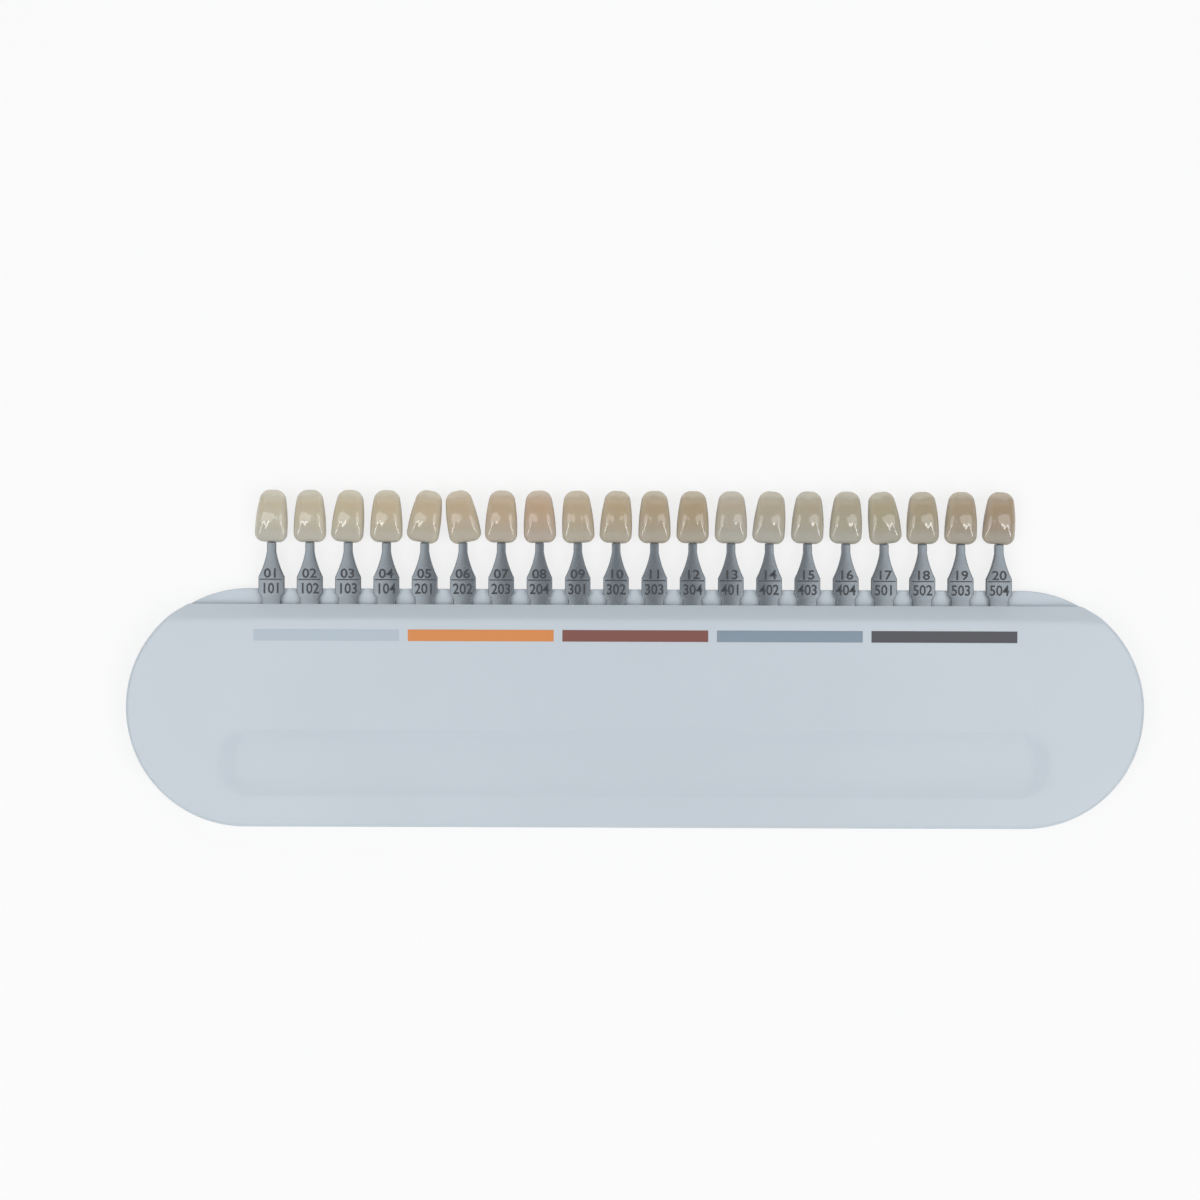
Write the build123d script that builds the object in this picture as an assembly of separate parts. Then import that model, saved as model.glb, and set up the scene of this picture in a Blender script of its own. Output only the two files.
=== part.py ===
from build123d import *
import math
import os

# Dental shade guide lying on its back. X runs along the holder, Y towards the
# tips of the teeth and Z out of the front. The origin is the centre of the
# holder's outline on its flat back. All sizes are in millimetres.

# Row of shade tabs
TAB_COUNT = 20
TAB_PITCH = 12.0
GROUP_TAB_COUNT = 4

# Holder, a flat moulded case of two covers
HOLDER_WIDTH = 74.2
ROW_END_MARGIN = 44.4
WALL = 2.0
BACK_FLOOR = 2.0
BACK_HEIGHT = 4.0
FRONT_HEIGHT = 7.0
FRONT_SKIN = 2.4
BACK_EDGE_CHAMFER = 0.8
FRONT_EDGE_CHAMFER = 0.9
RAIL_HEIGHT = 4.9
SLOPE_ANGLE = 45.0
LIP_THICKNESS = 1.2
LIP_HEIGHT = 1.5
LIP_CLEARANCE = 0.15

# Comb that guides the feet of the sticks
FOOT_CLEARANCE = 0.2
COMB_END_WALL = 1.8
COMB_SIDE_WALL = 2.8

# Locating pins on the back cover and their sockets in the front cover
PIN_DIAMETER = 3.0
PIN_CLEARANCE = 0.1
SOCKET_WALL = 1.5
PIN_ENGAGEMENT = 3.0
PIN_END_INSET = 12.0

# Thumb trough in the front face
TROUGH_WIDTH = 20.8
TROUGH_DEPTH = 1.0
TROUGH_END_MARGIN = 28.7
TROUGH_CORNER = 8.0
TROUGH_TO_EDGE = 20.0

# Printed code bars, one for each group of tabs
BAR_HEIGHT = 3.6
BAR_GAP = 2.7
BAR_TO_EDGE = 5.0
BAR_RECESS = 0.2
BAR_PROUD = 0.05
BAR_CLEARANCE = 0.1

# Stick of a shade tab, measured along Y from the holder's slot line
STICK_THICKNESS = 2.0
FOOT_WIDTH = 5.8
FOOT_LENGTH = 12.0
FOOT_LEAD = 1.2
PADDLE_WIDTH = 8.0
PADDLE_START = 2.0
PADDLE_SLOPE = 2.5
PADDLE_LENGTH = 3.8
NECK_WIDTH = 2.7
TAPER_LENGTH = 8.3
TAPER_SAG = 0.35
STICK_LENGTH = 19.4
TANG_WIDTH = 2.2
TANG_THICKNESS = 0.9
TANG_LENGTH = 6.5
BOND_GAP = 0.05

# Tooth of a shade tab, with its wide incisal edge towards the stick
TOOTH_LENGTH = 16.4
INCISAL_WIDTH = 9.9
INCISAL_CORNER = 2.2
CERVICAL_WIDTH = 7.0
CERVICAL_CORNER = 2.6
FLANK_BOW = 0.6
EDGE_THICKNESS = 1.9
LABIAL_RISE = 2.5
LABIAL_CENTRE = 8.2
LINGUAL_RISE = 1.7
LINGUAL_CENTRE = 10.8
TOP_THICKNESS = 2.3
PROFILE_OVERRUN = 0.3
LABIAL_FLAT = 5.0
SIDE_FACET_DROP = 1.7
TILT_PIVOT = 6.0

# How far each tooth leans towards +X on its stick, in degrees, from tab 1 to
# tab 20: the teeth are bonded on by hand and none stands quite straight.
TOOTH_LEAN = [
    3.0, 0.0, 5.0, 1.0, 10.0,
    -11.0, 1.5, -2.0, -3.0, 3.0,
    0.0, 1.0, 1.0, 5.0, 2.5,
    2.5, -7.0, -1.0, 1.5, 4.0,
]

# Sizes that follow from those above
ROW_LENGTH = (TAB_COUNT - 1) * TAB_PITCH
HOLDER_LENGTH = ROW_LENGTH + 2 * ROW_END_MARGIN
HOLDER_HEIGHT = BACK_HEIGHT + FRONT_HEIGHT
SLOT_LINE = HOLDER_WIDTH / 2 - RAIL_HEIGHT
CHANNEL_WIDTH = FOOT_WIDTH + 2 * FOOT_CLEARANCE
CHANNEL_HEIGHT = STICK_THICKNESS + 2 * FOOT_CLEARANCE
CHANNEL_LENGTH = FOOT_LENGTH + FOOT_CLEARANCE
COMB_TOP = BACK_HEIGHT + CHANNEL_HEIGHT
COMB_BACK = SLOT_LINE - CHANNEL_LENGTH - COMB_END_WALL
COMB_HALF_LENGTH = ROW_LENGTH / 2 + CHANNEL_WIDTH / 2 + COMB_SIDE_WALL
SLOPE_RUN = (HOLDER_HEIGHT - COMB_TOP) / math.tan(math.radians(SLOPE_ANGLE))
FRONT_EDGE = SLOT_LINE - SLOPE_RUN
STICK_Z = BACK_HEIGHT + FOOT_CLEARANCE
TOOTH_Z = STICK_Z + STICK_THICKNESS / 2
TOOTH_BASE = SLOT_LINE + STICK_LENGTH


def tab_x(index):
    """Centre of one tab along the row, counted from 0 at the left."""
    return index * TAB_PITCH - ROW_LENGTH / 2


def stadium(inset):
    """Outline of the holder, a long slot shape, pulled in by the inset."""
    return SlotOverall(HOLDER_LENGTH - 2 * inset, HOLDER_WIDTH - 2 * inset)


def block(x0, x1, y0, y1, z0, z1):
    """Straight block between two corners."""
    centre = ((x0 + x1) / 2, (y0 + y1) / 2, (z0 + z1) / 2)
    return Pos(*centre) * Box(x1 - x0, y1 - y0, z1 - z0)


def across(y0, y1, z0, z1):
    """Block as long as the holder and more, to cut or keep a strip of it."""
    return block(-HOLDER_LENGTH, HOLDER_LENGTH, y0, y1, z0, z1)


def pin_centres():
    """Places of the two locating pins, one near each end of the holder."""
    x = HOLDER_LENGTH / 2 - PIN_END_INSET
    return [(-x, 0), (x, 0)]


def make_back_cover():
    """Back cover: shallow tray with the rail, the comb, a lip and pins."""
    body = extrude(stadium(0), BACK_HEIGHT)
    bottom_edges = body.edges().group_by(Axis.Z)[0]
    body = chamfer(bottom_edges, BACK_EDGE_CHAMFER)
    hollow = Pos(0, 0, BACK_FLOOR) * extrude(stadium(WALL), BACK_HEIGHT)
    hollow &= across(-HOLDER_WIDTH, COMB_BACK, 0, HOLDER_HEIGHT)
    body -= hollow
    comb = block(
        -COMB_HALF_LENGTH, COMB_HALF_LENGTH, COMB_BACK, SLOT_LINE, BACK_FLOOR, COMB_TOP
    )
    body += comb
    channel_start = SLOT_LINE - CHANNEL_LENGTH
    for index in range(TAB_COUNT):
        x = tab_x(index)
        half = CHANNEL_WIDTH / 2
        body -= block(
            x - half, x + half, channel_start, SLOT_LINE + RAIL_HEIGHT, BACK_HEIGHT, HOLDER_HEIGHT
        )
    lip_half = (HOLDER_LENGTH - HOLDER_WIDTH) / 2
    lip_outside = -HOLDER_WIDTH / 2 + WALL + LIP_CLEARANCE
    body += block(
        -lip_half,
        lip_half,
        lip_outside,
        lip_outside + LIP_THICKNESS,
        BACK_FLOOR,
        BACK_HEIGHT + LIP_HEIGHT,
    )
    pin_height = BACK_HEIGHT - BACK_FLOOR + PIN_ENGAGEMENT
    for x, y in pin_centres():
        body += Pos(x, y, BACK_FLOOR + pin_height / 2) * Cylinder(PIN_DIAMETER / 2, pin_height)
    return body


def trough_cutter():
    """Trough: a shallow arc section along X, within a round-cornered outline."""
    half = TROUGH_WIDTH / 2
    radius = (half**2 + TROUGH_DEPTH**2) / (2 * TROUGH_DEPTH)
    length = HOLDER_LENGTH - 2 * TROUGH_END_MARGIN
    centre_y = -HOLDER_WIDTH / 2 + TROUGH_TO_EDGE
    floor = HOLDER_HEIGHT - TROUGH_DEPTH
    bar = Pos(0, centre_y, floor + radius) * Rotation(0, 90, 0) * Cylinder(radius, length)
    outline = RectangleRounded(length, TROUGH_WIDTH + TROUGH_DEPTH, TROUGH_CORNER)
    return bar & Pos(0, centre_y, floor) * extrude(outline, 2 * TROUGH_DEPTH)


def bar_place(group):
    """Centre and length of the code bar over one group of tabs."""
    first = tab_x(group * GROUP_TAB_COUNT)
    last = tab_x(group * GROUP_TAB_COUNT + GROUP_TAB_COUNT - 1)
    length = GROUP_TAB_COUNT * TAB_PITCH - BAR_GAP
    return (first + last) / 2, FRONT_EDGE - BAR_TO_EDGE, length


def make_front_cover():
    """Front cover: shell with the sloped top edge, trough and bar recesses."""
    body = Pos(0, 0, BACK_HEIGHT) * extrude(stadium(0), FRONT_HEIGHT)
    top_edges = body.edges().group_by(Axis.Z)[-1]
    body = chamfer(top_edges, FRONT_EDGE_CHAMFER)
    body &= across(-HOLDER_WIDTH, SLOT_LINE, 0, HOLDER_HEIGHT)
    slope = Polygon(
        (SLOT_LINE, COMB_TOP),
        (SLOT_LINE, HOLDER_HEIGHT),
        (FRONT_EDGE, HOLDER_HEIGHT),
        align=None,
    )
    body -= extrude(Plane.YZ * slope, HOLDER_LENGTH, both=True)
    roof = HOLDER_HEIGHT - FRONT_SKIN
    hollow = Pos(0, 0, BACK_HEIGHT) * extrude(stadium(WALL), roof - BACK_HEIGHT)
    hollow &= across(-HOLDER_WIDTH, COMB_BACK, 0, HOLDER_HEIGHT)
    body -= hollow
    body -= block(
        -COMB_HALF_LENGTH - FOOT_CLEARANCE,
        COMB_HALF_LENGTH + FOOT_CLEARANCE,
        COMB_BACK - FOOT_CLEARANCE,
        SLOT_LINE + RAIL_HEIGHT,
        0,
        COMB_TOP,
    )
    socket_height = roof - BACK_HEIGHT
    socket_radius = PIN_DIAMETER / 2 + PIN_CLEARANCE
    for x, y in pin_centres():
        place = Pos(x, y, BACK_HEIGHT + socket_height / 2)
        body += place * Cylinder(socket_radius + SOCKET_WALL, socket_height)
        body -= place * Cylinder(socket_radius, socket_height)
    body -= trough_cutter()
    for group in range(TAB_COUNT // GROUP_TAB_COUNT):
        x, y, length = bar_place(group)
        body -= Pos(x, y, HOLDER_HEIGHT) * Box(
            length + 2 * BAR_CLEARANCE, BAR_HEIGHT + 2 * BAR_CLEARANCE, 2 * BAR_RECESS
        )
    return body


def make_code_bar(group):
    """Thin coloured strip that lies in its recess in the front face."""
    x, y, length = bar_place(group)
    thickness = BAR_RECESS + BAR_PROUD
    return Pos(x, y, HOLDER_HEIGHT + BAR_PROUD - thickness / 2) * Box(length, BAR_HEIGHT, thickness)


def stick_outline():
    """Half-symmetric outline of a stick: foot, paddle and hollow taper."""
    foot = FOOT_WIDTH / 2
    paddle = PADDLE_WIDTH / 2
    neck = NECK_WIDTH / 2
    shoulder = PADDLE_START + PADDLE_SLOPE
    top = shoulder + PADDLE_LENGTH
    taper_end = top + TAPER_LENGTH
    middle = ((paddle + neck) / 2 - TAPER_SAG, top + TAPER_LENGTH / 2 - TAPER_SAG / 2)
    right = Polyline(
        (foot - FOOT_LEAD / 2, -FOOT_LENGTH),
        (foot, -FOOT_LENGTH + FOOT_LEAD),
        (foot, PADDLE_START),
        (paddle, shoulder),
        (paddle, top),
    )
    taper = ThreePointArc((paddle, top), middle, (neck, taper_end))
    end = Polyline((neck, taper_end), (neck, STICK_LENGTH), (0, STICK_LENGTH))
    start = Line((0, -FOOT_LENGTH), (foot - FOOT_LEAD / 2, -FOOT_LENGTH))
    half = Curve() + [start, right, taper, end]
    return make_face(half + mirror(half, Plane.YZ))


def tang(width, length, thickness):
    """Thin tongue at the stick's end, which the tooth is bonded to."""
    start = TOOTH_BASE
    return block(-width / 2, width / 2, start, start + length, STICK_Z, STICK_Z + thickness)


def make_stick(index):
    """Flat moulded stick with its foot in the holder and its tang in a tooth."""
    body = extrude(stick_outline(), STICK_THICKNESS)
    body = Pos(0, SLOT_LINE, STICK_Z) * body
    body += tang(TANG_WIDTH, TANG_LENGTH, TANG_THICKNESS)
    return Pos(tab_x(index), 0, 0) * body


def tooth_outline():
    """Front outline of a tooth: bowed flanks that narrow towards the neck."""
    edge = INCISAL_WIDTH / 2
    neck = CERVICAL_WIDTH / 2
    side = SagittaArc((edge, 0), (neck, TOOTH_LENGTH), -FLANK_BOW)
    half = Curve() + [
        Line((0, 0), (edge, 0)),
        side,
        Line((neck, TOOTH_LENGTH), (0, TOOTH_LENGTH)),
    ]
    outline = make_face(half + mirror(half, Plane.YZ))
    corners = [v for v in outline.vertices() if abs(v.X) > neck / 2]
    edge_corners = [v for v in corners if v.Y < TOOTH_LENGTH / 2]
    outline = fillet(edge_corners, INCISAL_CORNER)
    neck_corners = [
        v for v in outline.vertices() if v.Y > TOOTH_LENGTH - FLANK_BOW and abs(v.X) > neck / 2
    ]
    return fillet(neck_corners, CERVICAL_CORNER)


def tooth_profile():
    """Side view of a tooth, a little longer than its outline, which trims it."""
    edge = EDGE_THICKNESS / 2
    top = TOP_THICKNESS / 2
    start = -PROFILE_OVERRUN
    end = TOOTH_LENGTH + PROFILE_OVERRUN
    crown = (LABIAL_CENTRE, edge + LABIAL_RISE)
    belly = (LINGUAL_CENTRE, -edge - LINGUAL_RISE)
    return make_face(
        [
            Line((start, -edge), (start, edge)),
            ThreePointArc((start, edge), crown, (end, top)),
            Line((end, top), (end, -top)),
            Line((end, -top), belly),
            Line(belly, (start, -edge)),
        ]
    )


def tooth_section():
    """Cross-section limit of a tooth: flat middle and slanting flanks."""
    half = INCISAL_WIDTH / 2 + FLANK_BOW
    front = EDGE_THICKNESS / 2 + LABIAL_RISE
    back = EDGE_THICKNESS / 2 + LINGUAL_RISE
    return Polygon(
        (-half, front - SIDE_FACET_DROP),
        (-LABIAL_FLAT / 2, front),
        (LABIAL_FLAT / 2, front),
        (half, front - SIDE_FACET_DROP),
        (half, -back),
        (-half, -back),
        align=None,
    )


def make_tooth(index):
    """Solid tooth, leaning as bonded, with a pocket for the stick's tang."""
    body = extrude(tooth_outline(), INCISAL_WIDTH, both=True)
    body &= extrude(Plane.YZ * tooth_profile(), INCISAL_WIDTH, both=True)
    section = Plane(origin=(0, 0, 0), x_dir=(1, 0, 0), z_dir=(0, -1, 0)) * tooth_section()
    body &= extrude(section, 2 * TOOTH_LENGTH, both=True)
    lean = TOOTH_LEAN[index % len(TOOTH_LEAN)]
    body = Pos(0, TILT_PIVOT, 0) * Rotation(0, 0, -lean) * Pos(0, -TILT_PIVOT, 0) * body
    body = Pos(0, TOOTH_BASE, TOOTH_Z) * body
    stick = block(
        -NECK_WIDTH / 2 - BOND_GAP,
        NECK_WIDTH / 2 + BOND_GAP,
        SLOT_LINE,
        TOOTH_BASE + BOND_GAP,
        0,
        HOLDER_HEIGHT,
    )
    body -= stick
    pocket = tang(TANG_WIDTH + 2 * BOND_GAP, TANG_LENGTH + BOND_GAP, TANG_THICKNESS + BOND_GAP)
    body -= pocket
    body -= Pos(0, 0, -BOND_GAP) * pocket
    return Pos(tab_x(index), 0, 0) * body


os.makedirs("parts", exist_ok=True)
export_step(make_back_cover(), "parts/back_cover.step")
export_step(make_front_cover(), "parts/front_cover.step")
for group in range(TAB_COUNT // GROUP_TAB_COUNT):
    export_step(make_code_bar(group), f"parts/code_bar_{group + 1}.step")
for index in range(TAB_COUNT):
    export_step(make_stick(index), f"parts/stick_{index + 1:02d}.step")
    export_step(make_tooth(index), f"parts/tooth_{index + 1:02d}.step")
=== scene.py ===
"""Looks of a dental shade guide that lies on its back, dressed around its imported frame.

Sizes in the classes are in millimetres, and the meshes are in metres. X runs along
the holder, Y towards the tips of the teeth and Z out of the holder's front face.
"""

import logging
import math
from dataclasses import dataclass, field
from enum import Enum

import bmesh
import bpy
import numpy as np
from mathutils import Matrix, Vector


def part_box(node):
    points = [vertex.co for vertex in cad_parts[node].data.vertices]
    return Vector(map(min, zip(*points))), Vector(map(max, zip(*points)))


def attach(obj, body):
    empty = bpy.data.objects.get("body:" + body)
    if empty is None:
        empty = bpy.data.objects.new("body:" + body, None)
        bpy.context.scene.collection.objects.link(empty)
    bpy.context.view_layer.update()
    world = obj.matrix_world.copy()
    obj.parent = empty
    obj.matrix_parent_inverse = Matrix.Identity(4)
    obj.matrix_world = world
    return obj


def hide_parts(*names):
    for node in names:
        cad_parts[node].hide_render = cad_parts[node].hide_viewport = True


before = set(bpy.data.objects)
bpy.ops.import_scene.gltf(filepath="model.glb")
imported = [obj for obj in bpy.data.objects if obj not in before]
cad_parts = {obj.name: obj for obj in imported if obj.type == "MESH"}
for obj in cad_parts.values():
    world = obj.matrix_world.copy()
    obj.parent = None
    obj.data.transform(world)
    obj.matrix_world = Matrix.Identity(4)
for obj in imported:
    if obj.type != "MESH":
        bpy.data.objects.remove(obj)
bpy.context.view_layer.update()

MM = 0.001
TAB_COUNT = 20
GROUP_SIZE = 4
TOOTH_CHART = "across_and_along"
MERGE_DISTANCE = 1e-7
THIN_EDGE = 1e-8

log = logging.getLogger("shade_guide")


class Body(Enum):
    """Bodies that a piece of the guide can ride on."""

    HOLDER = "holder"
    TAB = "tab"

    def label(self, index: int = 0) -> str:
        """Name of the body, with the tab's number where it has one."""
        return self.value if self is Body.HOLDER else f"{self.value}_{index + 1:02d}"


class LampShape(Enum):
    """Outline of a lamp's bright face."""

    STRAIGHT = "RECTANGLE"
    ROUND = "ELLIPSE"


@dataclass(frozen=True)
class Extent:
    """Lowest and highest corner of one node, in millimetres."""

    low: np.ndarray
    high: np.ndarray

    @staticmethod
    def of(node: str) -> "Extent":
        """Extent of this node of the frame at rest."""
        low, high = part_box(node)
        return Extent(np.array(low) / MM, np.array(high) / MM)

    @property
    def centre(self) -> np.ndarray:
        """Middle of the box."""
        return (self.low + self.high) / 2

    @property
    def size(self) -> np.ndarray:
        """Length of the box along each axis."""
        return self.high - self.low


@dataclass(frozen=True)
class TabPlace:
    """Where a tab stands: its number, from 0, the slot line and its stick's box."""

    index: int
    slot_line: float
    box: Extent

    @property
    def tag(self) -> str:
        """Number of the tab as the nodes spell it, such as 07."""
        return f"{self.index + 1:02d}"


def linear(hex_colour: str) -> tuple[float, float, float, float]:
    """Turn an sRGB hex colour into linear light.

    Args:
        hex_colour: colour such as "#c6cfd7".
    Returns:
        Red, green, blue and alpha, from 0 to 1.
    """
    digits = hex_colour.lstrip("#")
    channels = np.array([int(digits[i : i + 2], 16) / 255 for i in (0, 2, 4)])
    low = channels / 12.92
    high = ((channels + 0.055) / 1.055) ** 2.4
    return (*np.where(channels <= 0.04045, low, high).tolist(), 1.0)


def blend_hex(first: str, last: str, share: float) -> str:
    """Hex colour a share of the way from the first to the last, mixed in sRGB."""
    pairs = [(int(first[i : i + 2], 16), int(last[i : i + 2], 16)) for i in (1, 3, 5)]
    mixed = [round(a + (b - a) * share) for a, b in pairs]
    return "#" + "".join(f"{value:02x}" for value in mixed)


def add_node(
    tree: bpy.types.NodeTree,
    kind: str,
    settings: dict[str | int, object] | None = None,
    links: dict[str | int, bpy.types.NodeSocket] | None = None,
) -> bpy.types.Node:
    """Add one shader node.

    Args:
        tree: node tree that takes the node.
        kind: Blender's name of the node.
        settings: values of its sockets, or of its properties.
        links: sockets of other nodes, by the input that each feeds.
    Returns:
        The new node.
    """
    node = tree.nodes.new(kind)
    for name, value in (settings or {}).items():
        if isinstance(name, int) or name in node.inputs:
            node.inputs[name].default_value = value
        else:
            setattr(node, name, value)
    for name, socket in (links or {}).items():
        tree.links.new(socket, node.inputs[name])
    return node


def new_material(name: str) -> tuple[bpy.types.Material, bpy.types.NodeTree]:
    """Make an empty node material of this name, and give it back with its node tree."""
    material = bpy.data.materials.new(name)
    material.use_nodes = True
    material.node_tree.nodes.clear()
    return material, material.node_tree


def set_stops(ramp: bpy.types.ColorRamp, stops: list[tuple[float, str]]) -> None:
    """Give a colour ramp its stops, each a position and a hex colour."""
    while len(ramp.elements) < len(stops):
        ramp.elements.new(1.0)
    for element, (position, colour) in zip(ramp.elements, stops):
        element.position = position
        element.color = linear(colour)


def pattern_scale(size_mm: float) -> float:
    """Scale of a pattern whose features have a real size in millimetres."""
    return 1 / (size_mm * MM)


@dataclass(frozen=True)
class Relief:
    """Uneven skin: soft bumps of a real size and depth, in millimetres."""

    size_mm: float
    depth_mm: float
    detail: float = 3.0
    strength: float = 0.6

    def build(
        self, tree: bpy.types.NodeTree, under: bpy.types.NodeSocket | None = None
    ) -> bpy.types.NodeSocket:
        """Lay the bumps on a skin.

        Args:
            tree: node tree of the material.
            under: normal of the skin that they lie on, or None for the bare mesh.
        Returns:
            The new normal.
        """
        place = {"Vector": add_node(tree, "ShaderNodeTexCoord").outputs["Object"]}
        settings = {"Scale": pattern_scale(self.size_mm), "Detail": self.detail}
        bumps = add_node(tree, "ShaderNodeTexNoise", settings, place).outputs["Fac"]
        settings = {"Strength": self.strength, "Distance": self.depth_mm * MM}
        links = {"Height": bumps} if under is None else {"Height": bumps, "Normal": under}
        return add_node(tree, "ShaderNodeBump", settings, links).outputs["Normal"]


@dataclass(frozen=True)
class MouldedPlastic:
    """Plastic moulded in an eroded or polished mould.

    The mould leaves a satin skin: soft, broad highlights with a faint grain, and the
    flow of the melt leaves a very faint cloud in the colour and the gloss. Aluminium
    flake in the melt makes a grey plastic mirror its surroundings a little.
    """

    name: str
    colour: str
    cloud: str
    roughness: float
    grain: Relief
    cloud_mm: float
    flake: float = 0.0
    smoother: float = 0.03
    rougher: float = 0.05
    ior: float = 1.5

    def build(self) -> bpy.types.Material:
        """Make the material."""
        material, tree = new_material(self.name)
        place = {"Vector": add_node(tree, "ShaderNodeTexCoord").outputs["Object"]}
        settings = {"Scale": pattern_scale(self.cloud_mm), "Detail": 2.0}
        flow = add_node(tree, "ShaderNodeTexNoise", settings, place).outputs["Fac"]
        settings = {"data_type": "RGBA", 6: linear(self.colour), 7: linear(self.cloud)}
        colour = add_node(tree, "ShaderNodeMix", settings, {0: flow}).outputs[2]
        low = self.roughness - self.smoother
        settings = {"To Min": low, "To Max": self.roughness + self.rougher}
        gloss = add_node(tree, "ShaderNodeMapRange", settings, {"Value": flow}).outputs["Result"]
        settings = {"IOR": self.ior, "Metallic": self.flake}
        links = {"Base Color": colour, "Roughness": gloss, "Normal": self.grain.build(tree)}
        shader = add_node(tree, "ShaderNodeBsdfPrincipled", settings, links)
        add_node(tree, "ShaderNodeOutputMaterial", {}, {"Surface": shader.outputs["BSDF"]})
        return material


@dataclass(frozen=True)
class PadPrint:
    """Ink laid on with a soft pad: a thin matt coat with slightly uneven cover."""

    name: str
    colour: str
    thin: str
    roughness: float = 0.45
    cover: Relief = Relief(0.5, 0.003, 4.0, 0.4)
    ior: float = 1.47

    def build(self) -> bpy.types.Material:
        """Make the material."""
        material, tree = new_material(self.name)
        place = {"Vector": add_node(tree, "ShaderNodeTexCoord").outputs["Object"]}
        settings = {"Scale": pattern_scale(self.cover.size_mm), "Detail": self.cover.detail}
        specks = add_node(tree, "ShaderNodeTexNoise", settings, place).outputs["Fac"]
        settings = {"data_type": "RGBA", 6: linear(self.colour), 7: linear(self.thin)}
        colour = add_node(tree, "ShaderNodeMix", settings, {0: specks}).outputs[2]
        settings = {"IOR": self.ior, "Roughness": self.roughness}
        links = {"Base Color": colour, "Normal": self.cover.build(tree)}
        shader = add_node(tree, "ShaderNodeBsdfPrincipled", settings, links)
        add_node(tree, "ShaderNodeOutputMaterial", {}, {"Surface": shader.outputs["BSDF"]})
        return material


@dataclass(frozen=True)
class ShadeResin:
    """Layered acrylic tooth, polished: dentine colour under a clear, glossy enamel.

    The dentine is fullest in the upper middle. The cutting edge is greyer and clearer,
    and light goes a little way in. The sides are paler, partly for the clearer enamel
    and partly as painted light shining through them, and a pale rim at the neck end is
    a painted highlight. A wavy skin breaks the sharp highlights up.
    """

    name: str
    dentine: str
    neck: str
    edge: str
    rim: str
    side_enamel_and_light: float = 0.45
    sides_from: float = 0.26
    cloud_mm: float = 3.5
    wander: float = 0.14
    roughness: float = 0.1
    scatter_mm: float = 0.9
    waves: Relief = Relief(2.2, 0.07, 1.0, 0.5)
    ripples: Relief = Relief(0.7, 0.02, 2.0, 0.4)

    def layers(self, tree: bpy.types.NodeTree) -> bpy.types.NodeSocket:
        """Colour of the layers by the place on the tooth.

        A ramp runs from the cutting edge to the neck, and a cloud shifts it a little. Its
        last stop paints a pale rim at the neck end, a painted highlight. Both sides are
        mixed towards that rim colour: partly the thicker, clearer enamel and partly painted
        light shining through the sides.

        Args:
            tree: node tree of the material.
        Returns:
            The colour.
        """
        chart = add_node(tree, "ShaderNodeUVMap", {"uv_map": TOOTH_CHART}).outputs["UV"]
        spot = add_node(tree, "ShaderNodeSeparateXYZ", {}, {"Vector": chart})
        place = {"Vector": add_node(tree, "ShaderNodeTexCoord").outputs["Object"]}
        settings = {"Scale": pattern_scale(self.cloud_mm), "Detail": 3.0}
        cloud = add_node(tree, "ShaderNodeTexNoise", settings, place).outputs["Fac"]
        settings = {"operation": "MULTIPLY_ADD", 1: self.wander}
        height = add_node(tree, "ShaderNodeMath", settings, {0: cloud, 2: spot.outputs["Y"]})
        ramp = add_node(tree, "ShaderNodeValToRGB", {}, {"Fac": height.outputs["Value"]})
        stops = [
            (0.07, self.edge),
            (0.24, self.edge),
            (0.52, self.dentine),
            (0.82, self.neck),
            (0.92, self.dentine),
            # painted highlight: the pale rim at the neck end stands in for light catching the
            # dome
            (0.99, self.rim),
        ]
        set_stops(ramp.color_ramp, stops)
        # The sides fade to the rim colour: clearer enamel, and painted light shining through the
        # sides.
        settings = {"operation": "SUBTRACT", 1: 0.5}
        aside = add_node(tree, "ShaderNodeMath", settings, {0: spot.outputs["X"]})
        links = {0: aside.outputs["Value"]}
        away = add_node(tree, "ShaderNodeMath", {"operation": "ABSOLUTE"}, links)
        settings = {
            "interpolation_type": "SMOOTHSTEP",
            "From Min": self.sides_from,
            "From Max": 0.5,
            "To Max": self.side_enamel_and_light,
        }
        links = {"Value": away.outputs["Value"]}
        clear = add_node(tree, "ShaderNodeMapRange", settings, links)
        settings = {"data_type": "RGBA", 7: linear(self.rim)}
        links = {0: clear.outputs["Result"], 6: ramp.outputs["Color"]}
        return add_node(tree, "ShaderNodeMix", settings, links).outputs[2]

    def build(self) -> bpy.types.Material:
        """Make the material."""
        material, tree = new_material(self.name)
        skin = self.ripples.build(tree, self.waves.build(tree))
        settings = {
            "IOR": 1.5,
            "Roughness": self.roughness,
            "Subsurface Weight": 0.3,
            "Subsurface Radius": (1.0, 0.75, 0.5),
            "Subsurface Scale": self.scatter_mm * MM,
            "Coat Weight": 0.4,
            "Coat Roughness": 0.05,
        }
        links = {"Base Color": self.layers(tree), "Normal": skin, "Coat Normal": skin}
        shader = add_node(tree, "ShaderNodeBsdfPrincipled", settings, links)
        add_node(tree, "ShaderNodeOutputMaterial", {}, {"Surface": shader.outputs["BSDF"]})
        return material


def wrap_quads(rows: int, columns: int) -> np.ndarray:
    """Quads of a grid whose columns close into rings.

    Args:
        rows: number of rings.
        columns: number of points on a ring.
    Returns:
        Four point numbers to a face.
    """
    r = np.arange(rows - 1)[:, None]
    c = np.arange(columns)[None, :]
    following = (c + 1) % columns
    corners = (
        r * columns + c,
        r * columns + following,
        (r + 1) * columns + following,
        (r + 1) * columns + c,
    )
    return np.stack(np.broadcast_arrays(*corners), axis=-1).reshape(-1, 4)


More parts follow.
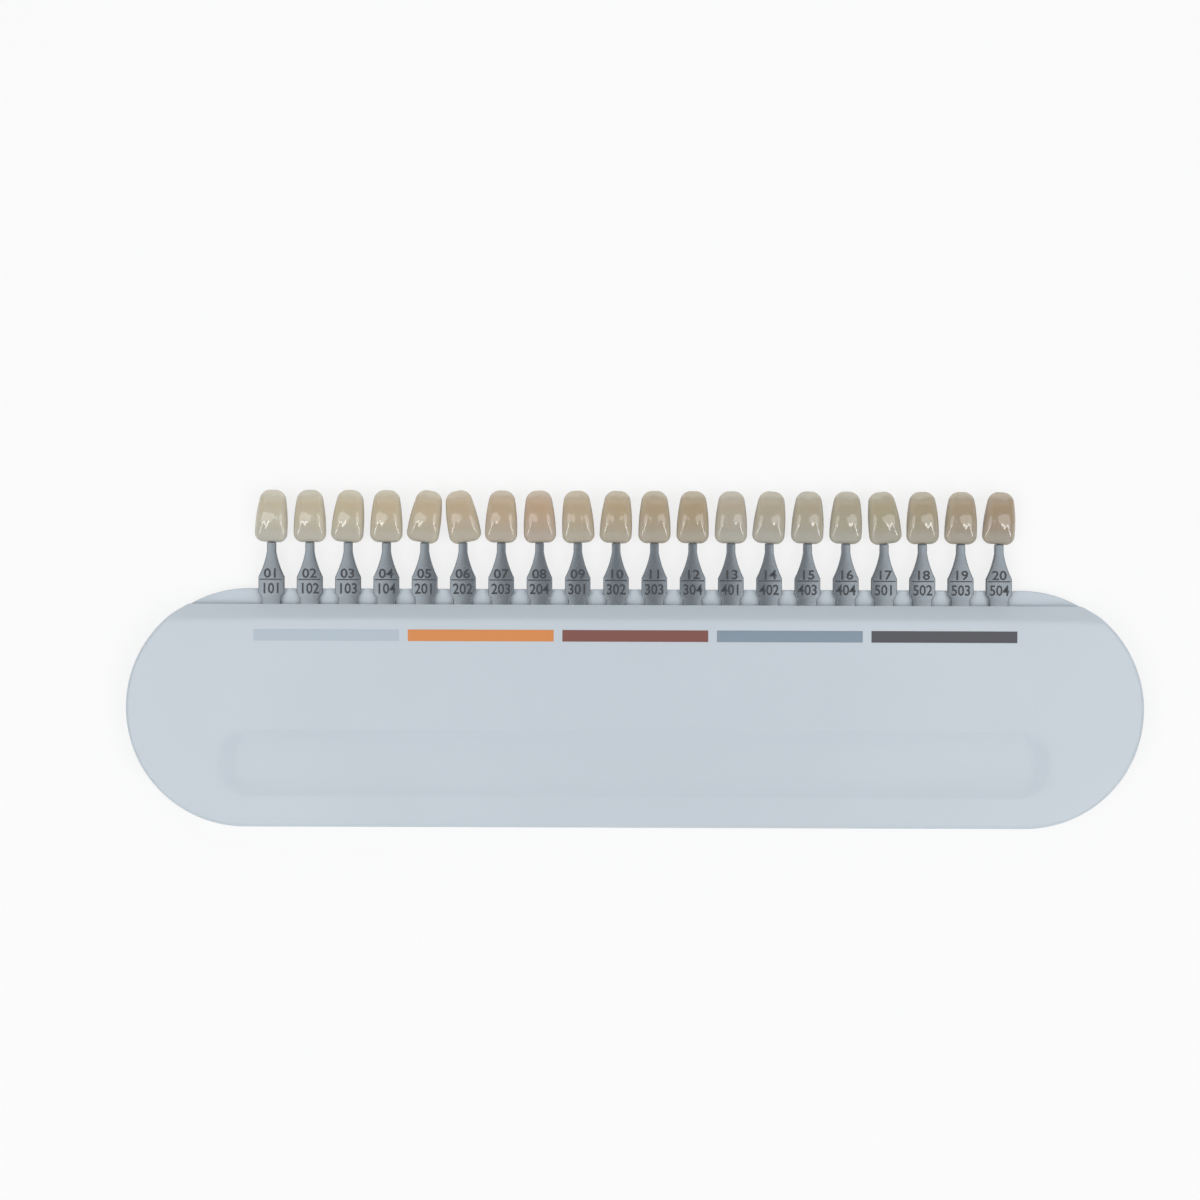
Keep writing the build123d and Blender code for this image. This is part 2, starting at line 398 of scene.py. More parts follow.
def mesh_object(
    name: str,
    points: np.ndarray,
    faces: np.ndarray,
    uv: np.ndarray | None = None,
) -> bpy.types.Object:
    """Make an object at the origin from points in millimetres.

    Equal points are merged, which closes poles, and a shell whose signed volume is
    negative is turned round so that its faces point outwards.

    Args:
        name: name of the object.
        points: one row of three numbers to a point.
        faces: rows of point numbers.
        uv: two numbers to a point, or None.
    Returns:
        The new object, linked into the scene.
    """
    mesh = bpy.data.meshes.new(name)
    mesh.from_pydata((points.reshape(-1, 3) * MM).tolist(), [], faces.tolist())
    if uv is not None:
        layer = mesh.uv_layers.new(name=TOOTH_CHART)
        loops = np.empty(len(mesh.loops), dtype=np.int32)
        mesh.loops.foreach_get("vertex_index", loops)
        layer.data.foreach_set("uv", uv.reshape(-1, 2)[loops].ravel())
    work = bmesh.new()
    work.from_mesh(mesh)
    bmesh.ops.remove_doubles(work, verts=work.verts, dist=MERGE_DISTANCE)
    bmesh.ops.dissolve_degenerate(work, edges=work.edges, dist=THIN_EDGE)
    if work.calc_volume(signed=True) < 0:
        bmesh.ops.reverse_faces(work, faces=work.faces)
    work.to_mesh(mesh)
    work.free()
    mesh.polygons.foreach_set("use_smooth", np.ones(len(mesh.polygons), dtype=bool))
    mesh.update()
    thing = bpy.data.objects.new(name, mesh)
    bpy.context.scene.collection.objects.link(thing)
    return thing


def soft_min(a: np.ndarray, b: np.ndarray, width: float) -> np.ndarray:
    """Lower of two heights, with the crease between them rounded over a width."""
    return (a + b - np.sqrt((a - b) ** 2 + width**2)) / 2


@dataclass(frozen=True)
class Slots:
    """Slots for the feet of the sticks, with the walls of the comb round them."""

    foot_width: float = 5.8
    foot_length: float = 12.0
    clearance: float = 0.2
    side_wall: float = 2.8
    end_wall: float = 1.8
    first: Extent = field(default_factory=lambda: Extent.of("stick_01"))
    last: Extent = field(default_factory=lambda: Extent.of(f"stick_{TAB_COUNT:02d}"))

    @property
    def half_width(self) -> float:
        """Half the width of one slot."""
        return self.foot_width / 2 + self.clearance

    @property
    def depth(self) -> float:
        """How far the comb reaches in from the slot line."""
        return self.foot_length + self.clearance + self.end_wall

    @property
    def roof(self) -> float:
        """Height of the slots' roof."""
        return self.first.high[2] + self.clearance

    @property
    def half_length(self) -> float:
        """Half the length of the comb, whose middle is at X = 0."""
        return self.last.centre[0] + self.half_width + self.side_wall


@dataclass
class CaseOutline:
    """Round-ended outline of the holder, with rays from its rim to its middle line.

    A cut takes off the top of the outline, as the slot line does to the front cover.
    """

    length: float
    width: float
    cut: float | None = None
    step: float = 1.0
    end_share: float = 0.25
    lead_count: int = 20

    @property
    def half(self) -> float:
        """Half the length of the straight sides."""
        return (self.length - self.width) / 2

    @property
    def radius(self) -> float:
        """Radius of the round ends."""
        return self.width / 2

    def rim(self) -> np.ndarray:
        """Points round the rim, counter-clockwise from the lower left.

        The lower and upper sides share their places along X, so that the rays from
        both meet on the middle line. A cut top is longer, and a lead of further
        points takes each end of it to the round.

        Returns:
            X and Y of each point.
        """
        count = int(self.length / self.step)
        along = np.linspace(-self.half, self.half, count)
        top = self.radius if self.cut is None else self.cut
        end = math.asin(min(1.0, top / self.radius))
        turn = np.linspace(-math.pi / 2, end, int(count * self.end_share))[1:-1]
        right_x = self.half + self.radius * np.cos(turn)
        right = np.stack([right_x, self.radius * np.sin(turn)], -1)
        left = right[::-1] * (-1, 1)
        beyond = math.sqrt(max(0.0, self.radius**2 - top**2))
        lead = np.array([])
        if beyond > 0:
            lead = np.linspace(self.half + beyond, self.half, self.lead_count)[:-1]
        across = np.concatenate([lead, along[::-1], -lead[::-1]])
        lower = np.stack([along, np.full_like(along, -self.radius)], -1)
        upper = np.stack([across, np.full_like(across, top)], -1)
        return np.concatenate([lower, right, upper, left])

    def rings(self, depths: np.ndarray, kept: float) -> np.ndarray:
        """Rings of points inside the rim, one for each depth.

        A depth up to kept is a true distance from the rim. Past it the rings are
        spread evenly, and the last one lies on the middle line.

        Args:
            depths: distances in from the rim, from 0 to the radius.
            kept: the depth up to which distances are true.
        Returns:
            X and Y, as rings by points by 2.
        """
        rim = self.rim()
        middle_x = np.clip(rim[:, 0], -self.half, self.half)
        middle = np.stack([middle_x, np.zeros(len(rim))], -1)
        reach = np.linalg.norm(middle - rim, axis=1)[None, :]
        d = depths[:, None]
        stretched = kept + (d - kept) * (reach - kept) / (self.radius - kept)
        share = np.where(d <= kept, d, stretched) / reach
        return rim[None] + share[..., None] * (middle - rim)[None]

    def inset(self, places: np.ndarray) -> np.ndarray:
        """Distance of each place from the full round-ended outline, inwards."""
        x = np.abs(places[..., 0]) - self.half
        away = np.hypot(np.maximum(x, 0), places[..., 1])
        return self.radius - away


@dataclass
class FrontCover:
    """Front half of the case: rounded rim, sloped top edge and thumb trough.

    ring_runs gives the depths of the rings as first, last and step. They are close
    together where the slope turns and along both edges of the trough.
    """

    rim_radius: float = 1.2
    rim_steps: int = 9
    slope_softness: float = 0.45
    slope_reach: float = 6.0
    trough_width: float = 20.8
    trough_depth: float = 1.0
    trough_end_margin: float = 28.7
    trough_corner: float = 8.0
    trough_to_edge: float = 20.0
    trough_wall: float = 7.0
    trough_softness: float = 0.04
    trough_reach: float = 3.0
    true_depth: float = 6.0
    ring_runs: tuple[tuple[float, float, float], ...] = (
        (1.5, 3.9, 0.4),
        (3.9, 5.4, 0.15),
        (5.7, 9.0, 0.6),
        (9.0, 10.2, 0.12),
        (10.6, 29.6, 0.7),
        (29.8, 31.0, 0.12),
    )
    last_run: float = 31.5
    last_steps: int = 6
    under_stride: int = 4
    box: Extent = field(default_factory=lambda: Extent.of("front_cover"))
    case: Extent = field(default_factory=lambda: Extent.of("back_cover"))
    slots: Slots = field(default_factory=Slots)

    def trough(self, places: np.ndarray, outline: CaseOutline) -> np.ndarray:
        """Depth of the thumb trough.

        Across, it is an arc section. At the ends it is no deeper than a soft wall
        lets it be, which falls from the trough's round-cornered outline inwards.

        Args:
            places: X and Y of each point.
            outline: the case's outline.
        Returns:
            Depth below the flat front, 0 outside the trough.
        """
        half = self.trough_width / 2
        bow = (half**2 + self.trough_depth**2) / (2 * self.trough_depth)
        x = np.abs(places[..., 0])
        y = np.abs(places[..., 1] + outline.radius - self.trough_to_edge)
        arc = np.sqrt(bow**2 - np.minimum(y, bow) ** 2) - (bow - self.trough_depth)
        arc = -soft_min(np.zeros(arc.shape), -arc, self.trough_softness)
        flat_x = outline.length / 2 - self.trough_end_margin - self.trough_corner
        flat_y = half - self.trough_corner
        over = np.hypot(np.maximum(x - flat_x, 0), np.maximum(y - flat_y, 0))
        inside = np.clip((self.trough_corner - over) / self.trough_wall, 0, 1)
        wall = self.trough_depth * inside**2 * (3 - 2 * inside)
        depth = np.where(x > flat_x, np.minimum(arc, wall), arc)
        return np.where(y > half + self.trough_reach, 0, depth)

    def top_height(self, places: np.ndarray, outline: CaseOutline) -> np.ndarray:
        """Height of the outer skin.

        It is the lowest of the flat front, the slope that falls at 45 degrees to the
        slot line, and the quarter round along the rim, less the trough.

        Args:
            places: X and Y of each point.
            outline: the case's outline.
        Returns:
            Z of each point.
        """
        top = self.box.high[2]
        slope = self.slots.roof + self.box.high[1] - places[..., 1]
        height = soft_min(np.full(slope.shape, top), slope, self.slope_softness)
        height = np.where(slope > top + self.slope_reach, top, height)
        inset = np.clip(outline.inset(places), 0, self.rim_radius)
        drop = self.rim_radius - np.sqrt(self.rim_radius**2 - (self.rim_radius - inset) ** 2)
        return np.minimum(height, top - drop) - self.trough(places, outline)

    def floor_height(self, places: np.ndarray) -> np.ndarray:
        """Height of the underside: the parting plane, or the roof of the slots."""
        beside = np.abs(places[..., 0]) < self.slots.half_length
        behind = places[..., 1] > self.box.high[1] - self.slots.depth
        return np.where(beside & behind, self.slots.roof, self.box.low[2])

    def build(self, finish: bpy.types.Material) -> bpy.types.Object:
        """Build the cover as one closed skin and dress it.

        The outer skin is a stack of rings from the rim to the middle line. The
        underside uses every few of them, from the middle line back to the rim.

        Args:
            finish: material of the case.
        Returns:
            The cover.
        """
        outline = CaseOutline(self.case.size[0], self.case.size[1], self.box.high[1])
        quarter = np.linspace(0, math.pi / 2, self.rim_steps)
        rounded = self.rim_radius * (1 - np.cos(quarter))
        runs = [np.arange(*run) for run in self.ring_runs]
        last = np.linspace(self.last_run, outline.radius, self.last_steps)
        inner = outline.rings(np.concatenate([rounded, *runs, last]), self.true_depth)
        top = np.dstack([inner, self.top_height(inner, outline)])
        under = np.concatenate([inner[: 0 : -self.under_stride], inner[:1]])
        bottom = np.dstack([under, self.floor_height(under)])
        points = np.concatenate([bottom, top])
        faces = wrap_quads(points.shape[0], points.shape[1])
        cover = mesh_object("front_shell", points, faces)
        cover.data.materials.append(finish)
        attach(cover, Body.HOLDER.label())
        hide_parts("front_cover")
        return cover


@dataclass
class BackCover:
    """Back half of the case: the tray with its rail, and the comb of the slots."""

    foot_radius: float = 1.0
    rail_radius: float = 0.45
    round_steps: int = 8
    flat_rings: tuple[float, ...] = (24.0, 12.0, 5.0, 2.0)
    roof_gap: float = 0.02
    root: float = 0.5
    wall_overlap: float = 1.0
    comb_edge: float = 0.15
    box: Extent = field(default_factory=lambda: Extent.of("back_cover"))
    front: Extent = field(default_factory=lambda: Extent.of("front_cover"))
    slots: Slots = field(default_factory=Slots)

    @property
    def height(self) -> float:
        """Height of the tray, whose top is the parting plane."""
        return self.front.low[2]

    def build_tray(self, finish: bpy.types.Material) -> bpy.types.Object:
        """Build the tray as rings from the middle of its back to that of its front.

        The profile is a flat back, a quarter round, a straight wall, a smaller
        quarter round and a flat top.

        Args:
            finish: material of the case.
        Returns:
            The tray.
        """
        outline = CaseOutline(self.box.size[0], self.box.size[1])
        quarter = np.linspace(0, math.pi / 2, self.round_steps)
        inwards = np.array([outline.radius, *self.flat_rings])
        low = self.foot_radius * (1 - np.sin(quarter))
        high = self.rail_radius * (1 - np.cos(quarter))
        depths = np.concatenate([inwards, low, high, inwards[::-1]])
        heights = np.concatenate(
            [
                np.zeros(len(inwards)),
                self.foot_radius * (1 - np.cos(quarter)),
                self.height - self.rail_radius * (1 - np.sin(quarter)),
                np.full(len(inwards), self.height),
            ]
        )
        flat = outline.rings(depths, outline.radius)
        level = np.broadcast_to(heights[:, None], flat.shape[:2])
        points = np.dstack([flat, level])
        tray = mesh_object("back_tray", points, wrap_quads(points.shape[0], points.shape[1]))
        tray.data.materials.append(finish)
        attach(tray, Body.HOLDER.label())
        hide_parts("back_cover")
        return tray

    def build_comb(self, finish: bpy.types.Material) -> bpy.types.Object:
        """Build the walls between the slots and behind them, with broken edges.

        Each wall is a block between a low and a high corner: a corner number of 0 or
        1 along each axis picks between the two.

        Args:
            finish: material of the case.
        Returns:
            The comb.
        """
        slots = self.slots
        first, last = slots.first.centre[0], slots.last.centre[0]
        middles = np.linspace(first, last, TAB_COUNT)
        half = slots.half_width
        line = self.front.high[1]
        back = line - slots.depth
        foot = self.height - self.root
        roof = slots.roof - self.roof_gap
        starts = np.concatenate([[first - half - slots.side_wall], middles + half])
        ends = np.concatenate([middles - half, [last + half + slots.side_wall]])
        low = np.stack(np.broadcast_arrays(starts, back + self.wall_overlap, foot), -1)
        high = np.stack(np.broadcast_arrays(ends, line, roof), -1)
        low = np.concatenate([low, [[starts[0], back, foot]]])
        high = np.concatenate([high, [[ends[-1], back + slots.end_wall, roof]]])
        ring = [[0, 0], [1, 0], [1, 1], [0, 1]]
        corner = np.array([[x, y, z] for z in (0, 1) for x, y in ring])
        points = low[:, None] + corner[None] * (high - low)[:, None]
        walls = [[i, (i + 1) % 4, (i + 1) % 4 + 4, i + 4] for i in range(4)]
        sides = np.array([[0, 3, 2, 1], [4, 5, 6, 7], *walls])
        faces = (np.arange(len(low))[:, None, None] * len(corner) + sides[None]).reshape(-1, 4)
        comb = mesh_object("slot_comb", points, faces)
        bevel = comb.modifiers.new("broken_edges", "BEVEL")
        bevel.width = self.comb_edge * MM
        bevel.segments = 2
        comb.data.materials.append(finish)
        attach(comb, Body.HOLDER.label())
        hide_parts("back_cover")
        return comb

    def build(self, finish: bpy.types.Material) -> list[bpy.types.Object]:
        """Build the tray and the comb in the case's material."""
        return [self.build_tray(finish), self.build_comb(finish)]


@dataclass
class CodeBars:
    """Printed colour bars on the front face, one over each group of tabs."""

    colours: tuple[tuple[str, str], ...] = (
        ("#b4c0cb", "#b8c4cf"),
        ("#dc8847", "#d88d51"),
        ("#7f4b43", "#84524b"),
        ("#8292a1", "#8797a5"),
        ("#4c4c52", "#525258"),
    )

    def build(self) -> list[bpy.types.Object]:
        """Give each bar of the frame its ink, and return the bars."""
        bars = []
        for number, (colour, thin) in enumerate(self.colours, start=1):
            ink = PadPrint(f"pad_print_bar_{number}", colour, thin).build()
            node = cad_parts[f"code_bar_{number}"]
            node.data.materials.clear()
            node.data.materials.append(ink)
            bars.append(node)
        return bars


@dataclass
class Stick:
    """Flat stick of a tab: foot, paddle, hollow taper and neck."""

    foot_width: float = Slots.foot_width
    foot_length: float = Slots.foot_length
    foot_lead: float = 1.2
    paddle_width: float = 8.0
    paddle_start: float = 1.9
    paddle_slope: float = 1.7
    paddle_length: float = 4.9
    neck_width: float = 2.7
    taper_length: float = 8.1
    taper_sag: float = 0.35
    length: float = 19.4
    edge_radius: float = 0.28
    end_steps: int = 5
    length_steps: int = 150
    corner_steps: int = 7
    corner_gap: float = 0.02

    def half_width(self, y: np.ndarray) -> np.ndarray:
        """Half the stick's width at distances from the slot line.

        Straight runs join the foot, the paddle and the neck, and the taper is an
        arc that sags inwards from its chord.
        """
        foot = self.foot_width / 2
        paddle = self.paddle_width / 2
        neck = self.neck_width / 2
        start = -self.foot_length
        shoulder = self.paddle_start + self.paddle_slope
        top = shoulder + self.paddle_length
        end = top + self.taper_length
        stations = [start, start + self.foot_lead, self.paddle_start, shoulder, top, end]
        widths = [foot - self.foot_lead / 2, foot, foot, paddle, paddle, neck]
        straight = np.interp(y, stations, widths)
        share = np.clip((y - top) / self.taper_length, 0, 1)
        return straight - 4 * self.taper_sag * share * (1 - share)

    def section_ring(self) -> np.ndarray:
        """Cosines and sines of points round the corners of a rounded rectangle."""
        gap = self.corner_gap
        starts = np.arange(4) * math.pi / 2
        sweep = np.linspace(gap, math.pi / 2 - gap, self.corner_steps)
        angle = (starts[:, None] + sweep[None]).ravel()
        return np.stack([np.cos(angle), np.sin(angle)])

    def build(self, tab: TabPlace, finish: bpy.types.Material) -> bpy.types.Object:
        """Build one stick from rounded-rectangle sections along its length.

        Each section is half_width wide and as thick as the stick. The sections
        shrink over a quarter round at both ends, and each end closes in a point.

        Args:
            tab: where the tab stands.
            finish: material of the stick.
        Returns:
            The stick.
        """
        r = self.edge_radius
        quarter = np.linspace(0, math.pi / 2, self.end_steps)
        start = -self.foot_length + r * (1 - np.cos(quarter))
        body = np.linspace(-self.foot_length + r, self.length - r, self.length_steps)[1:-1]
        end = self.length - r * (1 - np.cos(quarter[::-1]))
        y = np.concatenate([start, body, end])
        rounded = r * (1 - np.sin(quarter))
        shrink = np.concatenate([rounded, np.zeros(len(body)), rounded[::-1]])
        half = (self.half_width(y) - shrink)[:, None]
        thick = (tab.box.size[2] / 2 - shrink)[:, None]
        across, up = self.section_ring()
        x = (half - r) * np.sign(across) + across * r
        z = (thick - r) * np.sign(up) + up * r
        centre = tab.box.centre
        along = np.broadcast_to((tab.slot_line + y)[:, None], x.shape)
        points = np.stack([centre[0] + x, along, centre[2] + z], -1)
        caps = np.broadcast_to(points.mean(axis=1, keepdims=True), points.shape)
        points = np.concatenate([caps[:1], points, caps[-1:]])
        faces = wrap_quads(points.shape[0], points.shape[1])
        stick = mesh_object(f"shade_stick_{tab.tag}", points, faces)
        stick.data.materials.append(finish)
        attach(stick, Body.TAB.label(tab.index))
        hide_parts(f"stick_{tab.tag}")
        return stick


@dataclass
class Marking:
    """Plain running numbers printed on the paddle, over and under a thin line.

    A digit is digit_share as tall as the font's own size, and the ink sinks a little
    into the stick so that no gap shows.
    """

    line_y: float = 7.7
    line_length: float = 7.05
    line_width: float = 0.36
    upper_height: float = 2.85
    upper_y: float = 8.25
    upper_stretch: float = 1.15
    lower_height: float = 3.2
    lower_y: float = 3.35
    lower_stretch: float = 0.91
    weight: float = 0.08
    digit_share: float = 0.7
    ink_thickness: float = 0.03
    sink: float = 0.01

    def digits(
        self, words: str, height: float, stretch: float, middle: tuple[float, float, float]
    ) -> bpy.types.Mesh:
        """Build the digits of a short number.

        Args:
            words: the digits.
            height: height of a digit.
            stretch: how much wider than the font they are.
            middle: where the middle of the baseline lies.
        Returns:
            Their mesh in metres, at its place.
        """
        curve = bpy.data.curves.new("digits", "FONT")
        curve.body = words
        curve.align_x = "CENTER"
        curve.size = height / self.digit_share * MM
        curve.extrude = self.ink_thickness / 2 * MM
        curve.offset = self.weight * MM
        curve.resolution_u = 3
        holder = bpy.data.objects.new("digits", curve)
        bpy.context.scene.collection.objects.link(holder)
        bpy.context.view_layer.update()
        graph = bpy.context.evaluated_depsgraph_get()
        mesh = bpy.data.meshes.new_from_object(holder.evaluated_get(graph))
        bpy.data.objects.remove(holder)
        bpy.data.curves.remove(curve)
        spots = np.empty(len(mesh.vertices) * 3)
        mesh.vertices.foreach_get("co", spots)
        spots = spots.reshape(-1, 3) * (stretch, 1, 1) + np.array(middle) * MM
        mesh.vertices.foreach_set("co", spots.ravel())
        return mesh

    def build(self, tab: TabPlace, finish: bpy.types.Material) -> bpy.types.Object:
        """Build one tab's marking and lay it on its stick.

        Args:
            tab: where the tab stands.
            finish: the ink.
        Returns:
            The marking.
        """
        x = tab.box.centre[0]
        z = tab.box.high[2] + self.ink_thickness / 2 - self.sink
        group, member = divmod(tab.index, GROUP_SIZE)
        place = f"{group + 1}0{member + 1}"
        above = (x, tab.slot_line + self.upper_y, z)
        below = (x, tab.slot_line + self.lower_y, z)
        work = bmesh.new()
        work.from_mesh(self.digits(tab.tag, self.upper_height, self.upper_stretch, above))
        work.from_mesh(self.digits(place, self.lower_height, self.lower_stretch, below))
        line = bmesh.ops.create_cube(work, size=1.0)["verts"]
        size = np.array([self.line_length, self.line_width, self.ink_thickness]) * MM
        spot = np.array([x, tab.slot_line + self.line_y, z]) * MM
        bmesh.ops.scale(work, vec=size.tolist(), verts=line)
        bmesh.ops.translate(work, vec=spot.tolist(), verts=line)
        mesh = bpy.data.meshes.new(f"marking_{tab.tag}")
        work.to_mesh(mesh)
        work.free()
        marking = bpy.data.objects.new(f"marking_{tab.tag}", mesh)
        bpy.context.scene.collection.objects.link(marking)
        marking.data.materials.append(finish)
        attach(marking, Body.TAB.label(tab.index))
        return marking


@dataclass
class Tooth:
    """Tooth of a tab: an upper front tooth with its cutting edge at the stick."""

    length: float = 16.4
    edge_width: float = 9.9
    neck_width: float = 7.0
    flank_bow: float = 0.6
    edge_corner: float = 2.6
    neck_corner: float = 2.7
    edge_thickness: float = 2.1
    labial_rise: float = 2.4
    lingual_rise: float = 1.6
    lingual_centre: float = 10.8
    edge_round: float = 1.2
    neck_round: float = 4.2
    close_power: float = 2.6
    labial_power: float = 3.1
    lingual_power: float = 2.2
    groove_depth: float = 0.1
    groove_place: float = 1.7
    groove_width: float = 0.7
    groove_middle: float = 4.5
    groove_length: float = 4.0
    pivot: float = 6.0
    rings: int = 80
    around: int = 112

    def outline(self, y: np.ndarray) -> np.ndarray:
        """Half width of the tooth, from the front, at distances from its cutting edge.

        The flanks bow out from the line between edge and neck, and a quarter round
        takes off each corner.
        """
        share = y / self.length
        flank = (self.edge_width + (self.neck_width - self.edge_width) * share) / 2
        flank = flank + 4 * self.flank_bow * share * (1 - share)
        low = np.clip(self.edge_corner - y, 0, self.edge_corner)
        high = np.clip(self.neck_corner - (self.length - y), 0, self.neck_corner)
        low_cut = self.edge_corner - np.sqrt(self.edge_corner**2 - low**2)
        high_cut = self.neck_corner - np.sqrt(self.neck_corner**2 - high**2)
        return flank - low_cut - high_cut

    def depths(self, y: np.ndarray) -> tuple[np.ndarray, np.ndarray]:
        """Depths in front of and behind the middle plane, at distances from the edge.

        The front is a bow and the back rises to its fullest nearer the neck. Both
        close in a rounded line at the edge and at the neck.
        """
        edge = self.edge_thickness / 2
        bow = 1 - (2 * y / self.length - 1) ** 2
        rising = y / self.lingual_centre
        falling = (self.length - y) / (self.length - self.lingual_centre)
        swell = np.sin(np.minimum(rising, falling) * math.pi / 2)
        low = np.clip(1 - y / self.edge_round, 0, 1)
        high = np.clip(1 - (self.length - y) / self.neck_round, 0, 1)
        close = np.sqrt(1 - low**self.close_power) * np.sqrt(1 - high**self.close_power)
        front = (edge + self.labial_rise * bow) * close
        back = (edge + self.lingual_rise * swell) * close
        return front, back

    def build(
        self, tab: TabPlace, lean: float, base: np.ndarray, finish: bpy.types.Material
    ) -> bpy.types.Object:
        """Build one tooth from rings along its length.

        Each ring is a superellipse, |x/a|^n + |z/b|^n = 1, with a flatter front
        (a higher n) than back, and two shallow grooves run down the front. The
        tooth then turns about its pivot.

        Args:
            tab: where the tab stands.
            lean: how far it leans towards +X, in degrees.
            base: middle of its cutting edge.
            finish: its material.
        Returns:
            The tooth.
        """
        y = self.length * (1 - np.cos(np.linspace(0, math.pi, self.rings))) / 2
        half = self.outline(y)[:, None]
        front, back = (depth[:, None] for depth in self.depths(y))
        angle = np.linspace(0, 2 * math.pi, self.around, endpoint=False)[None]
        cos, sin = np.cos(angle), np.sin(angle)
        power = np.where(sin > 0, 2 / self.labial_power, 2 / self.lingual_power)
        across = np.sign(cos) * np.abs(cos) ** power
        x = half * across
        z = np.where(sin > 0, front, back) * np.sign(sin) * np.abs(sin) ** power
        fade = np.exp(-(((y - self.groove_middle) / self.groove_length) ** 2))[:, None]
        valley = np.exp(-(((np.abs(x) - self.groove_place) / self.groove_width) ** 2))
        z = z - self.groove_depth * fade * valley * np.maximum(sin, 0)
        tall = np.broadcast_to(y[:, None], x.shape)
        turn = math.radians(lean)
        level = tall - self.pivot
        leaning_x = x * math.cos(turn) + level * math.sin(turn)
        leaning_y = level * math.cos(turn) - x * math.sin(turn) + self.pivot
        points = np.stack([leaning_x, leaning_y, z], -1)
        chart = np.stack([np.broadcast_to(across / 2 + 0.5, x.shape), tall / self.length], -1)
        faces = wrap_quads(self.rings, self.around)
        tooth = mesh_object(f"shade_tooth_{tab.tag}", points + base, faces, chart)
        tooth.data.materials.append(finish)
        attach(tooth, Body.TAB.label(tab.index))
        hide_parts(f"tooth_{tab.tag}")
        return tooth


@dataclass
class ShadeRow:
    """The twenty tabs, in five groups of four shades from light to dark.

    leans says how far each tooth leans towards +X, in degrees: they are bonded on by
    hand. groups gives the lightest and the darkest shade of each group.
    """

    leans: tuple[float, ...] = (
        3.0, 0.0, 5.0, 1.0, 10.0, -11.0, 1.5, -2.0, -3.0, 3.0,
        0.0, 1.0, 1.0, 5.0, 2.5, 2.5, -7.0, -1.0, 1.5, 4.0,
    )
    groups: tuple[tuple[str, str], ...] = (
        ("#c8c2ae", "#c4b79e"),
        ("#c2b49b", "#bea78f"),
        ("#bbab92", "#ae9e84"),
        ("#b6ad9c", "#aea793"),
        ("#ada58e", "#a7957f"),
    )
    acetal: MouldedPlastic = MouldedPlastic(
        "moulded_acetal_grey", "#7a8187", "#777e84", 0.24, Relief(0.6, 0.00015), 9.0, flake=0.5
    )
    number_ink: PadPrint = PadPrint("pad_print_numbers", "#33373c", "#3d4247")
    stick: Stick = field(default_factory=Stick)
    marking: Marking = field(default_factory=Marking)
    tooth: Tooth = field(default_factory=Tooth)

    def shade(self, index: int) -> ShadeResin:
        """Finish of the tooth of a tab, numbered from 0.

        The neck is a little warmer than the body and the edge greyer. The rim is paler, partly
        for clear enamel and partly as painted highlight and painted side light.
        """
        group, member = divmod(index, GROUP_SIZE)
        body = blend_hex(*self.groups[group], member / (GROUP_SIZE - 1))
        neck = blend_hex(body, "#d8b07a", 0.14)
        edge = blend_hex(body, "#adafac", 0.4)
        # Rim colour: part clear enamel, part painted highlight at the neck end and painted light
        # through the sides.
        rim = blend_hex(body, "#ebe6d8", 0.42)
        return ShadeResin(f"layered_acrylic_{index + 1:02d}", body, neck, edge, rim)

    def build(self) -> list[bpy.types.Object]:
        """Build and dress every tab: its stick, its marking and its tooth, in order."""
        slot_line = Extent.of("front_cover").high[1]
        plastic = self.acetal.build()
        ink = self.number_ink.build()
        pieces = []
        for index in range(TAB_COUNT):
            tab = TabPlace(index, slot_line, Extent.of(f"stick_{index + 1:02d}"))
            centre = tab.box.centre
            base = np.array([centre[0], slot_line + self.stick.length, centre[2]])
            pieces.append(self.stick.build(tab, plastic))
            pieces.append(self.marking.build(tab, ink))
            resin = self.shade(index).build()
            pieces.append(self.tooth.build(tab, self.leans[index], base, resin))
        return pieces


@dataclass(frozen=True)
class Lamp:
    """Flat lamp that faces the guide, with its sizes in metres and its power in watts."""

    name: str
    place: tuple[float, float, float]
    size: tuple[float, float]
    power: float
    shape: LampShape = LampShape.STRAIGHT
    aim: tuple[float, float, float] = (-0.01, 0.02, 0.0)

    def hang(self) -> None:
        """Hang the lamp with its bright face towards its aim."""
        data = bpy.data.lights.new(self.name, "AREA")
        data.shape = self.shape.value
        data.size, data.size_y = self.size
        data.energy = self.power
        thing = bpy.data.objects.new(self.name, data)
        thing.location = self.place
        x, y, z = np.array(self.aim) - np.array(self.place)
        pitch = math.atan2(-z, math.hypot(x, y))
        yaw = math.atan2(y, x)
        thing.rotation_euler = (math.pi / 2 - pitch, 0, yaw - math.pi / 2)
        bpy.context.scene.collection.objects.link(thing)


